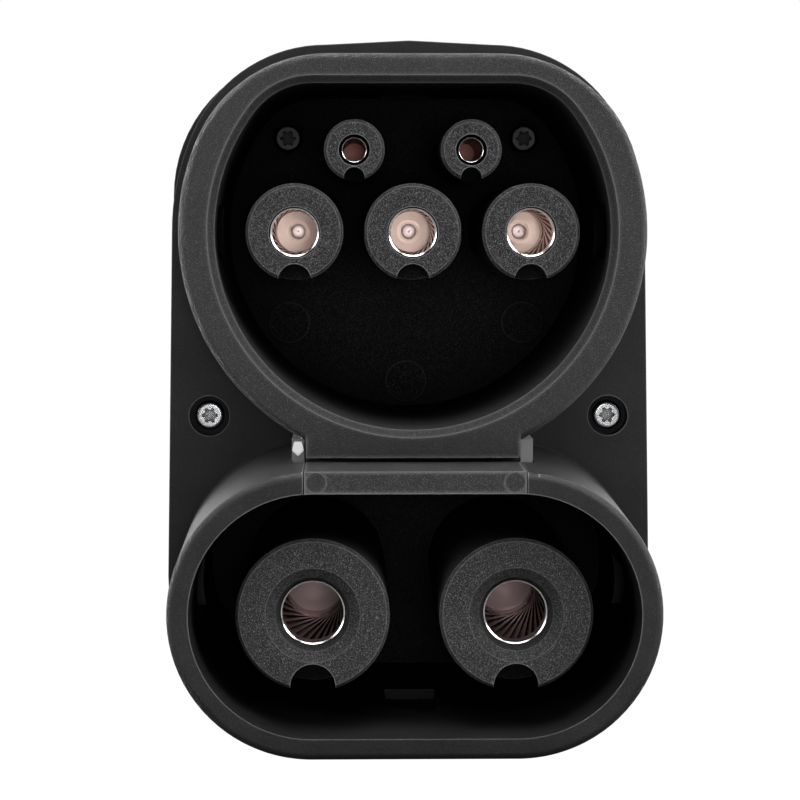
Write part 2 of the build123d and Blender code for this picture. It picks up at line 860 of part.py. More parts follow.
# -------------------------------------------------------------- cable gland
def make_gland_body():
    """Threaded sleeve whose inner flange bears on the tail wall."""
    place = (0, grip_mid_z)
    wall_y = tail_y - tail_wall
    solid = rod(gland_body_r, wall_y, tail_y + gland_body_out, place)
    flange_r = gland_body_r + gland_flange_wall
    solid += rod(flange_r, wall_y - gland_flange_length, wall_y, place)
    return solid - rod(gland_bore_r, wall_y - gland_flange_length, gland_end_y, place)


def make_gland_seal():
    """Rubber sleeve around the cable."""
    place = (0, grip_mid_z)
    front_y = tail_y - tail_wall
    back_y = tail_y + gland_body_out
    profile = disc(gland_bore_r, place) - disc(cable_r, place)
    return prism(profile, front_y, back_y)


def make_gland_nut():
    """Ribbed cap nut with a rounded nose."""
    place = (0, grip_mid_z)
    outer_r = gland_body_r + gland_nut_wall
    solid = rod(outer_r, gland_nut_y, gland_end_y, place)
    solid = fillet(solid.faces().sort_by(Axis.Y)[-1].edges(), gland_nut_dome)
    rib_end_y = gland_end_y - gland_nut_dome
    for index in range(gland_rib_count):
        angle = 2 * math.pi * index / gland_rib_count
        rib_x = outer_r * math.cos(angle)
        rib_z = grip_mid_z + outer_r * math.sin(angle)
        solid += rod(gland_rib_r, gland_nut_y, rib_end_y, (rib_x, rib_z))
    solid -= rod(gland_body_r, gland_nut_y, tail_y + gland_body_out, place)
    return solid - rod(cable_r + gland_nut_mouth, gland_nut_y, gland_end_y, place)


# ------------------------------------------------------------------- pieces
write("ac_collar", make_collar())
write("front_frame", make_front_frame())
write("web_key_left", make_key(-1))
write("web_key_right", make_key(1))
write("ac_insert", make_ac_insert())
write("dc_insert", make_dc_insert())
write("ac_retainer", make_ac_retainer())
write("dc_retainer", make_dc_retainer())

ac_head_y = ac_plate_back_y - socket_head_length
dc_head_y = dc_plate_back_y - socket_head_length
for name, place in ac_socket_places.items():
    socket = make_socket(
        place, ac_pin_r, ac_sleeve_r, ac_mouth_r, ac_lip_y, ac_sleeve_y, ac_bore_depth, ac_head_y
    )
    socket -= cage_room(place, ac_cage_r, ac_lip_y, ac_cage_length)
    cage = make_cage(place, ac_cage_r, ac_cage_slats, ac_lip_y, ac_cage_length)
    write(name + "_socket", socket)
    write(name + "_lamella_cage", cage)
for name, place in signal_socket_places.items():
    socket = make_socket(
        place, signal_pin_r, signal_sleeve_r, signal_mouth_r, ac_lip_y, ac_sleeve_y,
        signal_bore_depth, ac_head_y,
    )
    write(name + "_socket", socket)
for name, place in dc_socket_places.items():
    socket = make_socket(
        place, dc_pin_r, dc_sleeve_r, dc_mouth_r, dc_lip_y, dc_sleeve_y, dc_bore_depth, dc_head_y
    )
    socket -= cage_room(place, dc_cage_r, dc_lip_y, dc_cage_length)
    cage = make_cage(place, dc_cage_r, dc_cage_slats, dc_lip_y, dc_cage_length)
    write(name + "_socket", socket)
    write(name + "_lamella_cage", cage)
    write(name + "_heat_sensor", make_sensor(place))

write("flange_screws", make_flange_screws())
write("insert_screws", make_insert_screws())
write("flange_gasket", make_gasket())
shell_pair = make_shell_pair()
write("housing_left", split_half(shell_pair, -1))
write("housing_right", split_half(shell_pair, 1))
write("housing_screws", make_housing_screws())
write("gland_body", make_gland_body())
write("gland_seal", make_gland_seal())
write("gland_nut", make_gland_nut())
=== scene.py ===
import json
import math

import bmesh
import bpy
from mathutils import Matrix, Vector


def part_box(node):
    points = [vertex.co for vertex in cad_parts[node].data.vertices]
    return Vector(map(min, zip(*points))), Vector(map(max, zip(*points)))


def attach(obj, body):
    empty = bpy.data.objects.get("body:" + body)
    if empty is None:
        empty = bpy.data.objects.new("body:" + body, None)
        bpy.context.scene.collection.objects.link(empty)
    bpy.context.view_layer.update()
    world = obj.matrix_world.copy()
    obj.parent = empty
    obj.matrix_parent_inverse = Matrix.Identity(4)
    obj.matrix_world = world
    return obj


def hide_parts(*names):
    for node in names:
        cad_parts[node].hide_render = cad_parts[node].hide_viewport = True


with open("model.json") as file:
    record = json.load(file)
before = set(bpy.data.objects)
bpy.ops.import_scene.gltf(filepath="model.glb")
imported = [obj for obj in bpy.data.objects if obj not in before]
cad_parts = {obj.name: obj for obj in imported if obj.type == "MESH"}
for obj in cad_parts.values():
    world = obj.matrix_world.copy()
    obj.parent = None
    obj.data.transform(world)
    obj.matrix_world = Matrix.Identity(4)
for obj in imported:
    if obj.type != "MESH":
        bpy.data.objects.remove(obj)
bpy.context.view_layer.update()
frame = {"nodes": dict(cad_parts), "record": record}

bl_info = {
    "name": "Charging Plug Builder",
    "version": (1, 0, 0),
    "blender": (4, 5, 0),
    "location": "View3D > Sidebar > Charging Plug",
    "description": "Dresses a combined AC and DC charging plug in its finishes",
    "category": "Object",
}

MM = 0.001
NODES = frame["nodes"]


# ------------------------------------------------------------------- places
def node_centre(name):
    """Middle of a node's box, in metres."""
    low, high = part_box(name)
    return (low + high) / 2


LIP_SETBACK = 3 * MM

EARTH = node_centre("earth_socket")
COLLAR_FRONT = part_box("line_socket")[0].y - LIP_SETBACK
AC_SOCKETS = ("line", "earth", "neutral")
SIGNAL_SOCKETS = ("pilot", "proximity")
DC_SOCKETS = ("dc_left", "dc_right")


# --------------------------------------------------------------- properties
class PlugSizes(bpy.types.PropertyGroup):
    """Sizes of the pieces that are modelled here."""

    cage_slats: bpy.props.IntProperty(
        name="AC cage slats", description="Slats in an AC lamella cage", default=22, min=8, max=40
    )
    dc_cage_slats: bpy.props.IntProperty(
        name="DC cage slats", description="Slats in a DC lamella cage", default=26, min=8, max=48
    )
    cage_turn: bpy.props.FloatProperty(
        name="Cage turn", description="Angle a slat winds around its socket",
        default=math.radians(62), subtype="ANGLE",
    )
    camera_lens: bpy.props.FloatProperty(
        name="Lens", description="Focal length of the camera in millimetres",
        default=112.96, unit="CAMERA",
    )


class PlugColours(bpy.types.PropertyGroup):
    """Colours of the finishes."""

    collar: bpy.props.FloatVectorProperty(
        name="Collar", description="Grained plastic of the collar", subtype="COLOR",
        size=3, default=(0.019, 0.019, 0.02), min=0, max=1,
    )
    frame: bpy.props.FloatVectorProperty(
        name="Frame", description="Smooth plastic of the flange and the shroud", subtype="COLOR",
        size=3, default=(0.01, 0.01, 0.011), min=0, max=1,
    )
    insert: bpy.props.FloatVectorProperty(
        name="Insert", description="Plastic of the contact towers", subtype="COLOR",
        size=3, default=(0.009, 0.009, 0.0095), min=0, max=1,
    )
    shell: bpy.props.FloatVectorProperty(
        name="Shell", description="Plastic of the rear housing", subtype="COLOR",
        size=3, default=(0.013, 0.013, 0.014), min=0, max=1,
    )
    silver: bpy.props.FloatVectorProperty(
        name="Silver", description="Plating of the sockets", subtype="COLOR",
        size=3, default=(0.86, 0.85, 0.83), min=0, max=1,
    )
    copper: bpy.props.FloatVectorProperty(
        name="Copper", description="Bare lamella cages", subtype="COLOR",
        size=3, default=(0.75, 0.5, 0.42), min=0, max=1,
    )


# ------------------------------------------------ tones of the shared effects
CLOUD_TONE = (0.07, 0.07, 0.075, 1)
# Painted shade: the near-black that deep recesses are darkened towards.
PAINTED_SHADE_TONE = (0.002, 0.002, 0.002, 1)
# Painted highlights: pale tones mixed in along edges and along rounded edges.
EDGE_HIGHLIGHT_TONE = (0.24, 0.24, 0.25, 1)
ROUND_EDGE_HIGHLIGHT_TONE = (0.3, 0.3, 0.31, 1)
ROUND_EDGE_WIDTH = 0.9 * MM
DUST_TONE = (0.42, 0.42, 0.43, 1)
FLOOR_DARK = (0.15, 0.15, 0.15, 1)
FLOOR_PALE = (0.18, 0.18, 0.18, 1)


# ---------------------------------------------------------- node group tools
def new_group(name, inputs, outputs):
    """Empty shader group with named sockets; returns tree, input and output nodes."""
    tree = bpy.data.node_groups.new(name, "ShaderNodeTree")
    for label, kind, value in inputs:
        socket = tree.interface.new_socket(label, in_out="INPUT", socket_type=kind)
        if value is not None:
            socket.default_value = value
    for label, kind in outputs:
        tree.interface.new_socket(label, in_out="OUTPUT", socket_type=kind)
    return tree, tree.nodes.new("NodeGroupInput"), tree.nodes.new("NodeGroupOutput")


def math_node(tree, operation, first, second=None, clamp=False):
    """Math node fed by sockets or numbers; returns its output."""
    node = tree.nodes.new("ShaderNodeMath")
    node.operation = operation
    node.use_clamp = clamp
    for index, value in enumerate((first, second)):
        if value is None:
            continue
        if isinstance(value, (int, float)):
            node.inputs[index].default_value = value
        else:
            tree.links.new(value, node.inputs[index])
    return node.outputs[0]


def ramp(tree, value, low, high):
    """Maps low..high of a value to 0..1; low may be the larger one."""
    node = tree.nodes.new("ShaderNodeMapRange")
    tree.links.new(value, node.inputs["Value"])
    node.inputs["From Min"].default_value = low
    node.inputs["From Max"].default_value = high
    return node.outputs["Result"]


def noise(tree, coords, scale, detail=2.0, rough=0.5):
    """Noise texture; scale may be a socket."""
    node = tree.nodes.new("ShaderNodeTexNoise")
    tree.links.new(coords, node.inputs["Vector"])
    node.inputs["Detail"].default_value = detail
    node.inputs["Roughness"].default_value = rough
    if isinstance(scale, (int, float)):
        node.inputs["Scale"].default_value = scale
    else:
        tree.links.new(scale, node.inputs["Scale"])
    return node.outputs["Fac"]


def mix_colour(tree, factor, first, second):
    """Blend of two colours by a mask; each colour may be a socket or a tuple."""
    node = tree.nodes.new("ShaderNodeMix")
    node.data_type = "RGBA"
    # A colour mix takes inputs 0, 6 and 7, and gives output 2.
    for index, value in ((0, factor), (6, first), (7, second)):
        if isinstance(value, tuple):
            node.inputs[index].default_value = value
        else:
            tree.links.new(value, node.inputs[index])
    return node.outputs[2]


def make_grain_group():
    """Spark-eroded grain: fine height, uneven gloss, and pale crests and sparkle dots that are
    painted glints.
    """
    tree, given, out = new_group(
        "mould grain",
        [
            ("Scale", "NodeSocketFloat", 5000.0),
            ("Base", "NodeSocketColor", (0.03, 0.03, 0.03, 1)),
            ("Crest", "NodeSocketColor", (0.2, 0.2, 0.2, 1)),
            ("Crest Amount", "NodeSocketFloat", 0.5),
            ("Rough Low", "NodeSocketFloat", 0.45),
            ("Rough High", "NodeSocketFloat", 0.7),
        ],
        [
            ("Color", "NodeSocketColor"),
            ("Roughness", "NodeSocketFloat"),
            ("Height", "NodeSocketFloat"),
        ],
    )
    coords = tree.nodes.new("ShaderNodeTexCoord").outputs["Object"]
    fine = noise(tree, coords, given.outputs["Scale"], detail=3.0, rough=0.65)
    wide_scale = math_node(tree, "MULTIPLY", given.outputs["Scale"], 0.03)
    wide = noise(tree, coords, wide_scale, detail=3.0, rough=0.6)
    speck_scale = math_node(tree, "MULTIPLY", given.outputs["Scale"], 1.6)
    speck = noise(tree, coords, speck_scale, detail=1.0, rough=0.5)
    # Painted glints: pale crests on the bumps and scattered sparkle dots lighten the colour.
    low_crest = math_node(tree, "MULTIPLY", ramp(tree, fine, 0.5, 0.72), 0.35)
    painted_sparkle = ramp(tree, speck, 0.64, 0.76)
    crest = math_node(tree, "ADD", low_crest, painted_sparkle)
    crest = math_node(tree, "MULTIPLY", crest, given.outputs["Crest Amount"], clamp=True)
    tone = mix_colour(tree, crest, given.outputs["Base"], given.outputs["Crest"])
    cloud = math_node(tree, "MULTIPLY", ramp(tree, wide, 0.35, 0.7), 0.12)
    tone = mix_colour(tree, cloud, tone, CLOUD_TONE)
    span = math_node(tree, "SUBTRACT", given.outputs["Rough High"], given.outputs["Rough Low"])
    rough = math_node(tree, "MULTIPLY", fine, span)
    rough = math_node(tree, "ADD", rough, given.outputs["Rough Low"])
    tree.links.new(tone, out.inputs["Color"])
    tree.links.new(rough, out.inputs["Roughness"])
    tree.links.new(fine, out.inputs["Height"])
    return tree


def make_edge_highlight_group():
    """Painted highlight: a pale line along edges and rounds."""
    tree, given, out = new_group(
        "painted edge highlights",
        [("Width", "NodeSocketFloat", 0.0004), ("Strength", "NodeSocketFloat", 1.0)],
        [("Mask", "NodeSocketFloat")],
    )
    geometry = tree.nodes.new("ShaderNodeNewGeometry")
    bevel = tree.nodes.new("ShaderNodeBevel")
    bevel.samples = 6
    tree.links.new(given.outputs["Width"], bevel.inputs["Radius"])
    dot = tree.nodes.new("ShaderNodeVectorMath")
    dot.operation = "DOT_PRODUCT"
    tree.links.new(bevel.outputs["Normal"], dot.inputs[0])
    tree.links.new(geometry.outputs["Normal"], dot.inputs[1])
    mask = math_node(tree, "SUBTRACT", 1.0, dot.outputs["Value"])
    mask = ramp(tree, mask, 0.01, 0.09)
    mask = math_node(tree, "MULTIPLY", mask, given.outputs["Strength"], clamp=True)
    tree.links.new(mask, out.inputs["Mask"])
    return tree


def make_painted_shade_group():
    """Darkens a colour in deep recesses, where little light gets in."""
    tree, given, out = new_group(
        "painted shade in hollows",
        [("Reach", "NodeSocketFloat", 0.012), ("Color", "NodeSocketColor", (0.5, 0.5, 0.5, 1))],
        [("Color", "NodeSocketColor")],
    )
    open_sky = tree.nodes.new("ShaderNodeAmbientOcclusion")
    open_sky.samples = 4
    tree.links.new(given.outputs["Reach"], open_sky.inputs["Distance"])
    share = ramp(tree, open_sky.outputs["AO"], 0.3, 0.85)
    tone = mix_colour(tree, share, PAINTED_SHADE_TONE, given.outputs["Color"])
    tree.links.new(tone, out.inputs["Color"])
    return tree


def make_dust_group():
    """Scattered dust flecks that gather in patches."""
    tree, given, out = new_group(
        "dust flecks",
        [("Scale", "NodeSocketFloat", 1800.0), ("Amount", "NodeSocketFloat", 0.3)],
        [("Mask", "NodeSocketFloat")],
    )
    coords = tree.nodes.new("ShaderNodeTexCoord").outputs["Object"]
    cells = tree.nodes.new("ShaderNodeTexVoronoi")
    tree.links.new(coords, cells.inputs["Vector"])
    tree.links.new(given.outputs["Scale"], cells.inputs["Scale"])
    fleck = ramp(tree, cells.outputs["Distance"], 0.12, 0.04)
    patch = ramp(tree, noise(tree, coords, 160.0), 0.5, 0.7)
    mask = math_node(tree, "MULTIPLY", fleck, patch, clamp=True)
    mask = math_node(tree, "MULTIPLY", mask, given.outputs["Amount"], clamp=True)
    tree.links.new(mask, out.inputs["Mask"])
    return tree


def make_brush_group():
    """Fine turning marks and clouds of tarnish for metal that is turned about Y."""
    tree, given, out = new_group(
        "turning marks",
        [
            ("Scale", "NodeSocketFloat", 4000.0),
            ("Base", "NodeSocketColor", (0.8, 0.8, 0.8, 1)),
            ("Tarnish", "NodeSocketColor", (0.5, 0.4, 0.3, 1)),
            ("Tarnish Amount", "NodeSocketFloat", 0.3),
            ("Rough Low", "NodeSocketFloat", 0.12),
        ],
        [
            ("Color", "NodeSocketColor"),
            ("Roughness", "NodeSocketFloat"),
            ("Height", "NodeSocketFloat"),
        ],
    )
    coords = tree.nodes.new("ShaderNodeTexCoord").outputs["Object"]
    squash = tree.nodes.new("ShaderNodeMapping")
    squash.inputs["Scale"].default_value = (0.02, 1.0, 0.02)
    tree.links.new(coords, squash.inputs["Vector"])
    lines = noise(tree, squash.outputs["Vector"], given.outputs["Scale"], detail=2.0, rough=0.6)
    clouds = noise(tree, coords, 700.0, detail=3.0, rough=0.6)
    patch = ramp(tree, clouds, 0.4, 0.65)
    patch = math_node(tree, "MULTIPLY", patch, given.outputs["Tarnish Amount"], clamp=True)
    tone = mix_colour(tree, patch, given.outputs["Base"], given.outputs["Tarnish"])
    rough = math_node(tree, "MULTIPLY", lines, 0.15)
    rough = math_node(tree, "ADD", rough, given.outputs["Rough Low"])
    tree.links.new(tone, out.inputs["Color"])
    tree.links.new(rough, out.inputs["Roughness"])
    tree.links.new(lines, out.inputs["Height"])
    return tree


GROUPS = {}


def group(name):
    """Shared shader groups, each built once."""
    makers = {
        "grain": make_grain_group,
        "edges": make_edge_highlight_group,
        "dust": make_dust_group,
        "painted_shade": make_painted_shade_group,
        "brush": make_brush_group,
    }
    if name not in GROUPS:
        GROUPS[name] = makers[name]()
    return GROUPS[name]


def place_group(tree, name, **values):
    """Instance of a shared group with its own input values."""
    node = tree.nodes.new("ShaderNodeGroup")
    node.node_tree = group(name)
    for label, value in values.items():
        node.inputs[label.replace("_", " ")].default_value = value
    return node


def rgba(colour):
    """Colour with full opacity."""
    return (*colour[:3], 1.0)


def start_material(name):
    """New material; returns it with its node tree and its Principled shader."""
    skin = bpy.data.materials.new(name)
    skin.use_nodes = True
    tree = skin.node_tree
    return skin, tree, tree.nodes["Principled BSDF"]


def add_bump(tree, shader, height, strength, distance):
    """Feeds the shader's normal with a bump from a height socket."""
    bump = tree.nodes.new("ShaderNodeBump")
    bump.inputs["Strength"].default_value = strength
    bump.inputs["Distance"].default_value = distance
    tree.links.new(height, bump.inputs["Height"])
    tree.links.new(bump.outputs["Normal"], shader.inputs["Normal"])


def plastic(name, base, crest, scale, crest_amount, rough, bump, edge, edge_width=0.3 * MM,
            dust=0.0, specular=0.4, reach=12 * MM, round_edge_highlight=0.0):
    """Moulded plastic with grain, painted glints on its crests, painted highlights along edges, a
    little dust and painted shade in deep hollows.
    """
    skin, tree, shader = start_material(name)
    # The grain brings painted glints: pale crests and sparkle dots.
    grain = place_group(
        tree, "grain", Scale=scale, Base=rgba(base), Crest=rgba(crest),
        Crest_Amount=crest_amount, Rough_Low=rough[0], Rough_High=rough[1],
    )
    # Painted highlight: a pale line along edges goes into the base colour.
    edges = place_group(tree, "edges", Width=edge_width, Strength=edge)
    flecks = place_group(tree, "dust", Amount=dust)
    tone = mix_colour(tree, edges.outputs["Mask"], grain.outputs["Color"], EDGE_HIGHLIGHT_TONE)
    dullness = grain.outputs["Roughness"]
    # Painted highlight along rounded edges, which are also made glossier.
    if round_edge_highlight:
        round_highlight = place_group(tree, "edges", Width=ROUND_EDGE_WIDTH, Strength=round_edge_highlight)
        tone = mix_colour(tree, round_highlight.outputs["Mask"], tone, ROUND_EDGE_HIGHLIGHT_TONE)
        dullness = math_node(tree, "SUBTRACT", dullness, round_highlight.outputs["Mask"], clamp=True)
    tone = mix_colour(tree, flecks.outputs["Mask"], tone, DUST_TONE)
    # Painted shade: the colour is darkened in deep recesses.
    painted_shade = place_group(tree, "painted_shade", Reach=reach)
    tree.links.new(tone, painted_shade.inputs["Color"])
    tree.links.new(painted_shade.outputs["Color"], shader.inputs["Base Color"])
    tree.links.new(dullness, shader.inputs["Roughness"])
    shader.inputs["Specular IOR Level"].default_value = specular
    add_bump(tree, shader, grain.outputs["Height"], bump, 0.2 * MM)
    return skin


def metal(name, base, tarnish, tarnish_amount, bump, scale, rough, reach=0.1 * MM, metallic=1.0):
    """Turned or rolled metal with some tarnish and painted shade in deep hollows."""
    skin, tree, shader = start_material(name)
    marks = place_group(
        tree, "brush", Scale=scale, Base=rgba(base), Tarnish=rgba(tarnish),
        Tarnish_Amount=tarnish_amount, Rough_Low=rough,
    )
    shader.inputs["Metallic"].default_value = metallic
    # Painted shade: the colour is darkened in deep recesses.
    painted_shade = place_group(tree, "painted_shade", Reach=reach)
    tree.links.new(marks.outputs["Color"], painted_shade.inputs["Color"])
    tree.links.new(painted_shade.outputs["Color"], shader.inputs["Base Color"])
    tree.links.new(marks.outputs["Roughness"], shader.inputs["Roughness"])
    add_bump(tree, shader, marks.outputs["Height"], bump, 0.1 * MM)
    return skin


def rubber(name, base):
    """Matt rubber with soft mottling."""
    return plastic(
        name, base, crest=(0.1, 0.1, 0.1), scale=900.0, crest_amount=0.1, rough=(0.75, 0.9),
        bump=0.15, edge=0.2, specular=0.2,
    )


def make_plastics():
    """Finishes of the moulded and rubber pieces, by the name of their slot."""
    look = bpy.context.scene.plug_colours
    made = {}
    made["collar_plastic"] = plastic(
        "collar grained plastic", look.collar, crest=(0.26, 0.26, 0.265), scale=7400.0,
        crest_amount=1.0, rough=(0.5, 0.75), bump=0.9, edge=0.75, dust=0.25, specular=0.3,
        reach=30 * MM, round_edge_highlight=0.35,
    )
    made["frame_plastic"] = plastic(
        "frame satin plastic", look.frame, crest=(0.12, 0.12, 0.12), scale=6200.0,
        crest_amount=0.6, rough=(0.38, 0.55), bump=0.35, edge=0.7, dust=0.15, specular=0.35,
    )
    made["insert_plastic"] = plastic(
        "insert fine plastic", look.insert, crest=(0.5, 0.5, 0.505), scale=6800.0,
        crest_amount=1.0, rough=(0.5, 0.75), bump=1.0, edge=0.9, edge_width=0.25 * MM,
        dust=0.1, specular=0.25,
    )
    made["shell_plastic"] = plastic(
        "shell leather grain", look.shell, crest=(0.05, 0.05, 0.05), scale=2600.0,
        crest_amount=0.3, rough=(0.42, 0.6), bump=0.3, edge=0.35, edge_width=0.4 * MM,
        dust=0.1, specular=0.35,
    )
    made["gland_plastic"] = plastic(
        "gland satin plastic", look.shell, crest=(0.05, 0.05, 0.05), scale=3000.0,
        crest_amount=0.2, rough=(0.35, 0.5), bump=0.12, edge=0.5, dust=0.1, specular=0.35,
    )
    made["natural_nylon"] = plastic(
        "natural nylon", (0.3, 0.3, 0.29), crest=(0.6, 0.6, 0.6), scale=900.0,
        crest_amount=0.2, rough=(0.4, 0.5), bump=0.1, edge=1.0, edge_width=0.2 * MM,
        reach=0.5 * MM,
    )
    made["sensor_plastic"] = plastic(
        "sensor plastic", (0.1, 0.1, 0.1), crest=(0.2, 0.2, 0.2), scale=1500.0,
        crest_amount=0.2, rough=(0.4, 0.5), bump=0.1, edge=0.4, edge_width=0.2 * MM,
    )
    made["seal_rubber"] = rubber("seal rubber", (0.02, 0.02, 0.02))
    return made


def make_metals():
    """Finishes of the sockets, cages, screws and the painted light patch on the key, by the name
    of a slot or finish.
    """
    look = bpy.context.scene.plug_colours
    made = {}
    made["silver_plate"] = metal(
        "silver plating", look.silver, tarnish=(0.6, 0.52, 0.42), tarnish_amount=0.15,
        bump=0.0, scale=4000.0, rough=0.16,
    )
    made["copper_lamella"] = metal(
        "copper lamella", look.copper, tarnish=(0.6, 0.38, 0.32), tarnish_amount=0.35,
        bump=0.01, scale=1500.0, rough=0.1,
    )
    made["pale_copper"] = metal(
        "pale copper", (0.92, 0.7, 0.6), tarnish=(0.8, 0.55, 0.48), tarnish_amount=0.3,
        bump=0.02, scale=1500.0, rough=0.3, metallic=0.85,
    )
    made["dull_silver"] = metal(
        "dull silver", (0.9, 0.74, 0.72), tarnish=(0.8, 0.66, 0.64), tarnish_amount=0.4,
        bump=0.0, scale=3000.0, rough=0.28,
    )
    made["brown_copper"] = metal(
        "browned copper", (0.16, 0.1, 0.095), tarnish=(0.11, 0.065, 0.065), tarnish_amount=0.4,
        bump=0.0, scale=1500.0, rough=0.16,
    )
    made["plum_copper"] = metal(
        "plum copper", (0.28, 0.2, 0.2), tarnish=(0.2, 0.14, 0.14), tarnish_amount=0.3,
        bump=0.0, scale=1500.0, rough=0.28, metallic=0.85,
    )
    made["red_copper"] = metal(
        "reddened copper", (0.075, 0.03, 0.027), tarnish=(0.05, 0.03, 0.025), tarnish_amount=0.5,
        bump=0.0, scale=1500.0, rough=0.25,
    )
    made["bright_steel"] = metal(
        "bright zinc", (0.8, 0.81, 0.83), tarnish=(0.5, 0.52, 0.55), tarnish_amount=0.25,
        bump=0.02, scale=2500.0, rough=0.16, reach=4 * MM,
    )
    made["black_steel"] = metal(
        "black oxide", (0.02, 0.02, 0.021), tarnish=(0.012, 0.012, 0.012), tarnish_amount=0.4,
        bump=0.02, scale=3000.0, rough=0.24, reach=2 * MM,
    )
    # Painted light: near-white metal for the patch that stands in for light seen through the key.
    made["painted_light_patch"] = metal(
        "painted light patch", (0.98, 0.98, 0.98), tarnish=(0.9, 0.9, 0.9), tarnish_amount=0.2,
        bump=0.0, scale=2500.0, rough=0.3,
    )
    return made


MATERIALS = {}


def material(name):
    """Material of a slot or finish; all are made on the first call."""
    if not MATERIALS:
        MATERIALS.update(make_plastics())
        MATERIALS.update(make_metals())
    return MATERIALS[name]


# --------------------------------------------------------- modelling helpers
def clear_selection():
    """Nothing selected, nothing active, object mode."""
    if bpy.context.object and bpy.context.object.mode != "OBJECT":
        bpy.ops.object.mode_set(mode="OBJECT")
    bpy.ops.object.select_all(action="DESELECT")
    bpy.context.view_layer.objects.active = None


def settle(piece, name, slot, finish=None):
    """Names a finished piece, applies its place and gives it its finish and body; the slot's
    material stands in when no finish is given.
    """
    clear_selection()
    piece.select_set(True)
    bpy.context.view_layer.objects.active = piece
    bpy.ops.object.transform_apply(location=True, rotation=True, scale=True)
    piece.name = name
    piece.data.name = name
    piece.data.materials.clear()
    piece.data.materials.append(material(finish or slot))
    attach(piece, "root")
    piece.select_set(False)
    return piece


def apply_modifiers(piece):
    """Applies every modifier in order."""
    clear_selection()
    piece.select_set(True)
    bpy.context.view_layer.objects.active = piece
    for modifier in list(piece.modifiers):
        bpy.ops.object.modifier_apply(modifier=modifier.name)


# ----------------------------------------------------------------- operators
class PLUG_OT_finish_frame(bpy.types.Operator):
    """Give every construction piece its finish"""

    bl_idname = "plug.finish_frame"
    bl_label = "Finish the Construction Pieces"

    def execute(self, context):
        slots = {item["node"]: item["material_slot"] for item in frame["record"]["subparts"]}
        for name, piece in NODES.items():
            piece.data.materials.clear()
            piece.data.materials.append(material(slots[name]))
            clear_selection()
            piece.select_set(True)
            context.view_layer.objects.active = piece
            bpy.ops.object.shade_smooth_by_angle(angle=math.radians(28))
        clear_selection()
        return {"FINISHED"}


def turned(name, slot, axis, steps, finish=None, segments=72):
    """Body of revolution about Y, grown ring by ring from its first disc."""
    x, z = axis
    radius, y = steps[0]
    clear_selection()
    bpy.ops.mesh.primitive_circle_add(
        vertices=segments, radius=radius, fill_type="NGON",
        location=(x, y, z), rotation=(math.pi / 2, 0, 0),
    )
    piece = bpy.context.object
    bpy.ops.object.transform_apply(location=True, rotation=True, scale=True)
    bpy.ops.object.mode_set(mode="EDIT")
    bpy.ops.mesh.select_all(action="SELECT")
    for next_radius, next_y in steps[1:]:
        bpy.ops.mesh.extrude_region_move(TRANSFORM_OT_translate={"value": (0, next_y - y, 0)})
        share = next_radius / radius
        bpy.ops.transform.resize(value=(share, 1, share), center_override=(x, next_y, z))
        radius, y = next_radius, next_y
    bpy.ops.mesh.select_all(action="SELECT")
    bpy.ops.mesh.normals_make_consistent(inside=False)
    bpy.ops.object.mode_set(mode="OBJECT")
    bpy.ops.object.shade_smooth_by_angle(angle=math.radians(30))
    return settle(piece, name, slot, finish)


